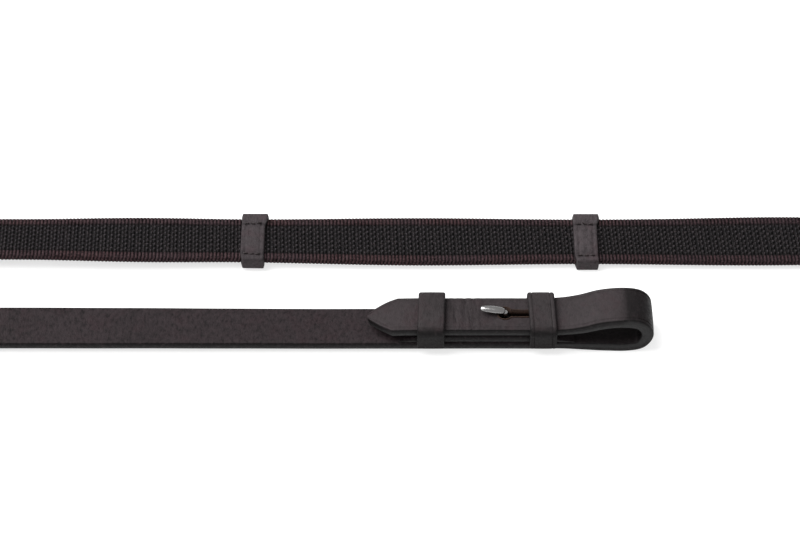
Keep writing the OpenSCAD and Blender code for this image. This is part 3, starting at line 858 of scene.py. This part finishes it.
def section_sweep(name, put, xz, far, near, thick, material, wrinkle=None, face_side=1, shade_tint=0):
    """Leather along an x, z line in put's frame, with half-widths far and near and its thickness.
    Its finished face is on the left of the line as it goes, or on the right for face_side -1."""
    su, sv, edge = strap_section(2 * SECTION_HALF, SECTION_T)
    wide = np.where(su > 0, far[:, None], near[:, None])
    shrink = np.minimum(1, wide / 4)
    rim = np.sign(su) * np.clip(wide - (SECTION_HALF - np.abs(su)) * shrink, 0.02, None)
    flat = su / SECTION_FLAT * np.clip(wide - (SECTION_HALF - SECTION_FLAT) * shrink, 0, None)
    u = np.where(np.abs(su) < SECTION_FLAT, flat, rim)
    v = sv * (thick[:, None] / SECTION_T)
    # The last argument adds painted shade to the edge tone
    tone = np.broadcast_to(edge + np.reshape(shade_tint, (-1, 1)), u.shape)
    if wrinkle is not None:
        depth, swell = wrinkle(xz[:, :1], u)
        face = (sv > 1.2) & (xz[:, 1:] > BIT_T)
        v = v + face * (swell - 0.16 * depth)
        # Painted shade darkens the face in its creases
        tone = tone + 0.34 * face * depth
    points = np.empty((*u.shape, 3))
    points[..., 1] = u
    points[..., ::2] = xz[:, None] + left_normals(xz)[:, None] * (v * face_side)[..., None]
    return skin(name, put(points), material, {"edge": np.clip(tone, 0, 1)})


# Across the billet by its stud: place, depth and lean of each crease
CREASES = [(-19.2, 0.6, 0.4), (-17.3, 1.0, -0.5), (-16.1, 0.7, 0.3), (-14.4, 1.0, 0.6),
           (-12.6, 0.9, -0.3), (-11.5, 0.6, 0.5), (-10.2, 0.8, -0.4), (-8.6, 0.5, 0.3),
           (-22.5, 0.35, 0.2), (4.6, 0.4, 0.3)]


def billet_wrinkle(x, u):
    """Depth of the creases where the billet is bent up over its stud, and the lip of the hole."""
    depth = 0.0
    for k, (at, deep, lean) in enumerate(CREASES):
        bend = at + lean * np.sin(u * 0.55 + 1.7 * k) + 0.12 * np.sin(u * 2.3 + k)
        reach = np.clip(0.45 + 0.75 * np.sin(u * 0.42 + 2.1 * k), 0, 1)
        depth = depth + deep * hump(x, bend, 0.28) * reach
    lip = 0.3 * hump(x, 0.6, 3.2) * hump(u, 0, 3.4) - 0.25 * hump(x, -5.2, 3) * hump(u, 0, 3)
    return depth, 0.08 * np.sin(x * 1.9 + 0.5 * np.sin(u)) * hump(x, -14, 6) + lip


def tube(name, points, radius, material, closed=False, around=14, squash=1.0):
    """A wire through points, in layout mm: round, or flattened by squash."""
    p = np.asarray(points, float)
    d = (np.roll(p, -1, 0) - np.roll(p, 1, 0)) if closed else np.gradient(p, axis=0)
    d /= np.linalg.norm(d, axis=1)[:, None]
    a = np.cross(d, [0.0, 1.0, 0.0] if abs(d[:, 1]).max() < 0.9 else [0.13, 0.93, 0.34])
    a /= np.linalg.norm(a, axis=1)[:, None]
    b = np.cross(d, a)
    t = circle(around)
    radius = np.broadcast_to(radius, (len(p),))
    rings = p[:, None] + radius[:, None, None] * (np.cos(t)[None, :, None] * a[:, None] * squash
                                                  + np.sin(t)[None, :, None] * b[:, None])
    return skin(name, rings, material, ends="join" if closed else "cap")


BUTTONHOLE_R, SLIT = 2.4, [(3.0, 1.3), (5.2, 1.25), (8.4, 1.2), (9.3, 0.75)]


def keyhole_outline():
    """The buttonhole in the billet: a round hole for the post and a slit towards the loop."""
    a = np.radians(np.linspace(32, 328, 24))
    return np.vstack([BUTTONHOLE_R * np.stack([np.cos(a), np.sin(a)], 1),
                      [(x, -y) for x, y in SLIT], SLIT[::-1]])


KEEPER_HALF_W, KEEPER_FOOT = 9.4, 2.4


def keeper_mesh(name, put, x0, skew, creases):
    """A keeper loop: leather bent over the billet, its sides down to near the strap's foot."""
    top = BILLET_TOP + 0.8 + KEEPER_T / 2
    half = KEEPER_HALF_W - KEEPER_T / 2
    far = [(-half - 0.1, KEEPER_FOOT), (-half, 4.5), (-half + 0.02, 7.6), (-half + 0.2, 9.6),
           (-half + 1.3, top - 0.2), (-half + 3.0, top + 0.02)]
    near = [(half - 3.0, top + 0.02), (half - 1.1, top - 0.15), (half - 0.15, 9.8),
            (half, 7.6), (half, 4.5), (half + 0.1, KEEPER_FOOT)]
    path = smooth_curve(far + [(0, top + 0.12)] + near, 0.45)
    su, sv, edge = strap_section(KEEPER_LEN, KEEPER_T, 9, creases, 0.06, 0.2)
    # The keeper's bends and sides get painted shade on top of its edge tone
    tone = np.clip(edge * 0.6 + 0.31 * keeper_painted_shade(top - path[:, 1])[:, None], 0, 1)
    lean = skew * (path[:, 0] / 9.0)
    return wrapped(name, put, path, x0 + KEEPER_LEN / 2 + su[None] + lean[:, None], sv, KEEPER,
                   tone, closed=False)


def keeper_painted_shade(down):
    """Painted shade on a keeper: darkest on its bends, dull on its sides."""
    return np.clip(0.35 * (down > 0.8) + 1.0 * hump(down, 1.9, 1.4)
                   + 0.95 * np.clip((down - 1.5) / 3, 0, 1), 0, 1.3)


# The stud's neck as height and radius, and its head by parts of the way to its point
NECK = [(BIT_T + 0.1, 1.5), (BIT_T + 1.4, 1.1), (BILLET_TOP - 0.6, 1.0), (BILLET_TOP + 0.1, 1.0),
        (BILLET_TOP + 0.7, 1.0), (BILLET_TOP + 1.1, 0.9)]
HEAD_LEN, HEAD_TURN = 8.7, math.radians(-4)
HEAD_AT = [0, 0.03, 0.15, 0.4, 0.65, 0.85, 0.96, 0.99, 1]
HEAD_HALF = [0.4, 1.1, 1.4, 1.55, 1.45, 1.2, 0.95, 0.65, 0.3]
HEAD_HIGH = [0.3, 0.85, 1.1, 1.2, 1.1, 0.9, 0.7, 0.45, 0.15]


def stud_mesh(name, put):
    """A hook stud: a post with its neck, and a pointed dome that hooks back over the billet."""
    a = circle(28)
    neck = [np.stack([r * np.cos(a), r * np.sin(a), np.full_like(a, z)], 1) for z, r in NECK]
    post = skin(name + "_post", put(neck), STEEL, sharp=50)
    c, s_ = math.cos(HEAD_TURN), math.sin(HEAD_TURN)
    round_up = np.abs(np.sin(a))
    rings = []
    for q in np.concatenate([[0.0, 0.03], np.linspace(0.1, 0.9, 15), [0.96, 0.99, 1.0]]):
        half, high = (np.interp(q, HEAD_AT, size) for size in (HEAD_HALF, HEAD_HIGH))
        x, y = -HEAD_LEN * q, half * np.cos(a) + 0.3
        z = np.where(np.sin(a) > 0, high * round_up, -0.35 * high * round_up ** 0.6)
        rise = 1.1 + 1.1 * q - 0.3 * q * q
        rings.append(np.stack([c * x - s_ * y, s_ * x + c * y, BILLET_TOP + rise + z], 1))
    return skin(name, put(rings), STEEL, sharp=60), post


# Half-widths of the billet's tip, far and near side, by the distance from its end
TIP_FAR = [0, 0.5, 1.6, 4.4, 7.5, 10.5], [0.5, 1.3, 2.4, 4.5, 6.2, BILLET_W / 2]
TIP_NEAR = [0, 0.5, 1.6, 4.4, 8.4], [0.5, 1.3, 2.4, 4.8, BILLET_W / 2]


def billet_and_loop(rein, put):
    """Billet and bit loop in one piece, bent round from the billet into the loop."""
    top_mid = LAYER_Z + BIT_T / 2
    low_mid = LOOP_Z - LOOP_R - LOOP_T / 2
    high_mid = LOOP_Z + LOOP_R + LOOP_T / 2
    r = LOOP_R + LOOP_T / 2
    round_loop = [(LOOP_X + r * x, LOOP_Z + r * z) for x, z in
                  ((0.62, -0.80), (0.97, -0.18), (0.90, 0.42), (0.45, 0.88))]
    line = [(13, BIT_T / 2), (20, BIT_T / 2 - 0.05), (28, BIT_T / 2 - 0.55), (36, low_mid + 0.12),
            (LOOP_X - 1.0, low_mid), *round_loop, (LOOP_X - 2.6, high_mid + 0.02),
            (LOOP_X - 9.5, high_mid - 0.95), (27, top_mid + 1.75), (20.5, top_mid + 0.45),
            (13, top_mid), (0, top_mid), (-20, top_mid), (-31, top_mid), (-39, top_mid - 0.25),
            (-44, top_mid - 0.75), (BILLET_TIP + 1.3, top_mid - 1.35)]
    xz = smooth_curve(line, 0.3)
    x = xz[:, 0]
    upper = np.arange(len(xz)) > np.argmax(x)
    swell = (LOOP_T - BIT_T) * np.clip((x - 22) / 11, 0, 1)
    thick = np.where(x > 33, LOOP_T, BIT_T + swell)
    low_half, top_half = (np.interp(x, [13, 30], [w / 2, LOOP_W / 2])
                          for w in (LEATHER_W - 0.2, BILLET_W))
    wide = np.where(upper, top_half, low_half)
    tip = np.clip(x - x.min(), 0, None)
    far, near = (np.where(upper & (tip < at[-1]), np.interp(tip, at, half), wide)
                 for at, half in (TIP_FAR, TIP_NEAR))
    # Painted shade on the loop's right-hand bend, which turns away from the light
    bend = 0.38 * np.clip((x - LOOP_X + 3.8) / 3, 0, 1) * np.clip((xz[:, 1] - 2) / 4, 0, 1)
    obj = section_sweep(f"{rein}_billet_and_loop", put, xz, far, near, thick, BILLET,
                        billet_wrinkle, -1, bend)
    cut(obj, put, keyhole_outline(), LAYER_Z - 1.2, BILLET_TOP + 1.5)
    low, high = (to_model(put(np.array([30.0, 0, z]))) for z in (0.6, 8.4))
    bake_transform(obj)
    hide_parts(f"{rein}_billet", f"{rein}_bit_loop")


def buttonhole_lip(rein, put):
    """The raw rim round the buttonhole, a little outside its cut."""
    outline = keyhole_outline()
    steps = np.linspace(0, 1, 4)[:3, None]
    dense = np.concatenate([a + (b - a) * steps for a, b in zip(outline, np.roll(outline, -1, 0))])
    dense = dense - 0.3 * left_normals(dense, True)
    lip_z = BILLET_TOP + 0.3 + 0.28 * hump(dense[:, 0], 0.6, 3.2)
    lip = tube(f"{rein}_buttonhole_lip", put(np.column_stack([dense, lip_z - 0.18])),
               0.24 + 0.05 * np.sin(dense[:, 0] * 5 + dense[:, 1] * 3), RAW, closed=True, around=8)
    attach(lip, f"{rein}_billet")


STRIP_TAPER, STRIP_TIP_T = 12, 0.6


def middle_strip(rein, put):
    """The layer between strap and billet, thin at both its ends."""
    a, b = STRIP_ENDS
    full = a + STRIP_TAPER, b - STRIP_TAPER
    x = np.concatenate([np.linspace(a, full[0], 9), np.linspace(full[1], b, 9)[1:],
                        np.linspace(full[0] + 0.5, full[1] - 0.5, 26)[1:]])
    x.sort()
    taper = np.clip(np.minimum(x - a, b - x) / STRIP_TAPER, 0, 1)
    thick = STRIP_TIP_T + (BIT_T - 0.1 - STRIP_TIP_T) * taper
    half = np.full(len(x), LOOP_W / 2 - 0.15)
    strip = section_sweep(f"{rein}_middle_strip", put,
                          np.stack([x, BIT_T + 0.05 + thick / 2], 1), half, half, thick, STRAP)
    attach(strip, "reins")
    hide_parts(f"{rein}_stud_strip")


KEEPERS = [("stud_keeper", STUD_KEEPER_X, -0.35, True), ("tip_keeper", TIP_KEEPER_X, 0.3, False)]


def bit_end(rein, off):
    """Everything at one rein's bit end but the strap itself."""
    put = bit_frame(off)
    billet_and_loop(rein, put)
    buttonhole_lip(rein, put)
    middle_strip(rein, put)
    head, post = stud_mesh(f"{rein}_hook_stud_head", put)
    for piece in (head, post):
        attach(piece, "reins")
    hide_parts(f"{rein}_hook_stud")
    for node, x0, skew, creases in KEEPERS:
        keeper = keeper_mesh(f"{rein}_{node}_leather", put, x0, skew, creases)
        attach(keeper, "reins")
        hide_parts(f"{rein}_{node}")


for off, rein in SIDES:
    bit_end(rein, off)


# ---- the centre buckle
FRAME_CORNER, EYE_R, EYE_WIRE_R = 2.4, 2.15, 0.55
FRONT_UP = HAND_T / 2 + 0.3 + BAR_R
FRAME_TILT = math.atan(FRONT_UP / BUCKLE_LEN)
RAIL_LEN = math.hypot(BUCKLE_LEN, FRONT_UP)


def tilted(points, angle):
    """Turns points in the buckle's frame about its bar."""
    p = np.asarray(points, float)
    c, s_ = math.cos(angle), math.sin(angle)
    x, y, z = p[..., 0], p[..., 1], p[..., 2]
    return np.stack([c * x + s_ * z, y, -s_ * x + c * z], -1)


def buckle_wire():
    """The buckle's frame: one wire round a rectangle with round corners, its bar at x 0."""
    corner = FRAME_CORNER
    y = (LEATHER_W + 1.2 + BUCKLE_WIRE) / 2 - corner
    front = -RAIL_LEN + corner
    outline = []
    for cx, cy, a0 in ((-corner, y, 0), (front, y, 90), (front, -y, 180), (-corner, -y, 270)):
        a = np.radians(np.linspace(a0, a0 + 90, 9))
        outline += list(np.stack([cx + corner * np.cos(a), cy + corner * np.sin(a), 0 * a], 1))
    dense = []
    for a, b in zip(outline, np.roll(outline, -1, 0)):
        steps = max(1, int(np.linalg.norm(b - a) / 0.8))
        dense += [a + (b - a) * k / steps for k in range(steps)]
    wire = tube("buckle_frame_wire", buckle_frame(tilted(dense, FRAME_TILT)), BAR_R * 0.98, STEEL,
                closed=True)
    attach(wire, "buckle_frame")
    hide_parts("buckle_frame")


def buckle_tongue():
    """The tongue: a tapered shank that rests on the frame, and its eye round the bar."""
    angle = FRAME_TILT + math.atan((BAR_R + 1.3) / RAIL_LEN)
    x = np.linspace(-2.2, -RAIL_LEN - 2.4, 24)
    radii = np.interp(-x, [2.2, RAIL_LEN - 2, RAIL_LEN + 2.4], [1.15, 1.1, 0.75])
    sag = 0.25 * np.sin(np.clip((-x - 2) / RAIL_LEN, 0, 1) * math.pi)
    shank = tube("buckle_tongue_shank", buckle_frame(tilted(np.stack([x, 0 * x, sag], 1), angle)),
                 radii, STEEL)
    a = np.linspace(math.radians(-150), math.radians(170), 30)
    ring = EYE_R * np.stack([-np.cos(a), 0 * a, np.sin(a)], 1)
    eye = tube("buckle_tongue_eye", buckle_frame(tilted(ring, angle)), EYE_WIRE_R, STEEL,
               squash=2.0)
    for piece in (shank, eye):
        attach(piece, "buckle_tongue")
    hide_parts("buckle_tongue")


def buckle_chape():
    """A thin strap folded round the bar, its two ends either side of the off hand strap."""
    r = BAR_R + 0.08 + CHAPE_T / 2
    ends = [(40, r), (28, r), (14, r), (5, r), (1.2, r)]
    fold = [(-r * math.sin(math.radians(a)), -r * math.cos(math.radians(a)))
            for a in (10, 40, 70, 90, 110, 140, 170)]
    xz = smooth_curve([(x, -z) for x, z in ends] + fold + ends[::-1], 0.6)
    half = np.full(len(xz), LEATHER_W / 2)
    chape = section_sweep("buckle_chape_leather", buckle_frame, xz, half, half,
                          np.full(len(xz), CHAPE_T), STRAP)
    a = circle(16)
    slot = np.stack([np.clip(6.5 * np.cos(a), -6, 6) + 1.5, 1.7 * np.sin(a)], 1)
    cut(chape, buckle_frame, slot, -6.0, 6.0)
    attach(chape, "reins")
    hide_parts("buckle_chape")


def buckle_loop(node, body, x0):
    """A closed leather loop round both straps beyond the buckle."""
    low, high = -CHAPE_OUT - 0.15, POINT_UP + HAND_T / 2 + 0.3
    path = rounded_rect(LEATHER_W + 0.6 + KEEPER_T, high - low + KEEPER_T, 1.2)
    path += [0, (low + high) / 2]
    su, sv, edge = strap_section(7, KEEPER_T, 7, True, 0.05, 0.18)
    # The scaled edge tone gives the loop's edges painted shade
    obj = wrapped(node + "_leather", buckle_frame, path, x0 + su, sv, KEEPER, edge * 0.6)
    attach(obj, body)
    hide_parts(node)


buckle_wire()
buckle_tongue()
buckle_chape()
buckle_loop("buckle_keeper", "reins", 12)
buckle_loop("buckle_runner", "buckle_runner", 29)


# ---- the tie round the hank
TIE_SECTION = np.array([
    (-4.5, 0), (-4.4, 0.38), (-3.3, 0.5), (-2.2, 0.42), (-1.1, 0.5), (0, 0.42), (1.1, 0.5),
    (2.2, 0.42), (3.3, 0.5), (4.4, 0.38), (4.5, 0), (4.4, -0.4), (2.2, -0.45), (0, -0.45),
    (-2.2, -0.45), (-4.4, -0.4)])


def tie():
    """The elastic band that holds the hank's turns together."""
    tie_x = HANK_START[1] + HANK_SIDE * 0.8
    y0 = STARTS[LEAD + 2][2] - WEB_T / 2 - 0.4
    y1 = STARTS[LEAD + 14][2] + BIT_T / 2 + 0.4
    low, high = 0.7, LIFT + WEB_W + 0.9
    path = rounded_rect(y1 - y0 + 1, high - low, 2.2, 6, 15, 9) + [(y0 + y1) / 2, (low + high) / 2]
    obj = wrapped("hank_tie_band", np.asarray, path, tie_x + TIE_SECTION[:, 0], TIE_SECTION[:, 1],
                  ELASTIC)
    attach(obj, "reins")
    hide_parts("hank_tie")


tie()


# ---- floor and light
def floor(size):
    """A white ground that glows enough to leave only soft shadows, as in the photo."""
    n = Nodes("floor")
    base = n.mix(n.remap(n.noise(3, 2), 0.3, 0.7, 0, 1), (0.46, 0.46, 0.46), (0.49, 0.49, 0.49))
    material = n.finish(base, 0.9, specular=0.1, Emission_Color=(1, 1, 1, 1),
                        Emission_Strength=0.69)
    corners = [(-size, -size, 0), (size, -size, 0), (size, size, 0), (-size, size, 0)]
    new_object("floor", corners, [np.arange(4)], material)


def daylight(energy, angle, direction, ambient):
    """One wide lamp from above, and a world that is white to the camera and dimmer as light."""
    data = bpy.data.lights.new("overhead", "SUN")
    data.energy, data.angle = energy, angle
    sun = bpy.data.objects.new("overhead", data)
    bpy.context.scene.collection.objects.link(sun)
    sun.rotation_euler = Vector(direction).to_track_quat("-Z", "Y").to_euler()
    world = bpy.data.worlds.new("studio")
    bpy.context.scene.world = world
    world.use_nodes = True
    tree = world.node_tree
    background = tree.nodes["Background"].inputs
    background["Color"].default_value = (1, 1, 1, 1)
    path = tree.nodes.new("ShaderNodeLightPath")
    level = tree.nodes.new("ShaderNodeMapRange")
    level.inputs["To Min"].default_value = ambient
    tree.links.new(path.outputs["Is Camera Ray"], level.inputs["Value"])
    tree.links.new(level.outputs["Result"], background["Strength"])


floor(size=4.0)
daylight(energy=4.7, angle=1.0, direction=(0.58, -0.2, -0.79), ambient=0.5)
bpy.context.scene.view_settings.view_transform = "Standard"
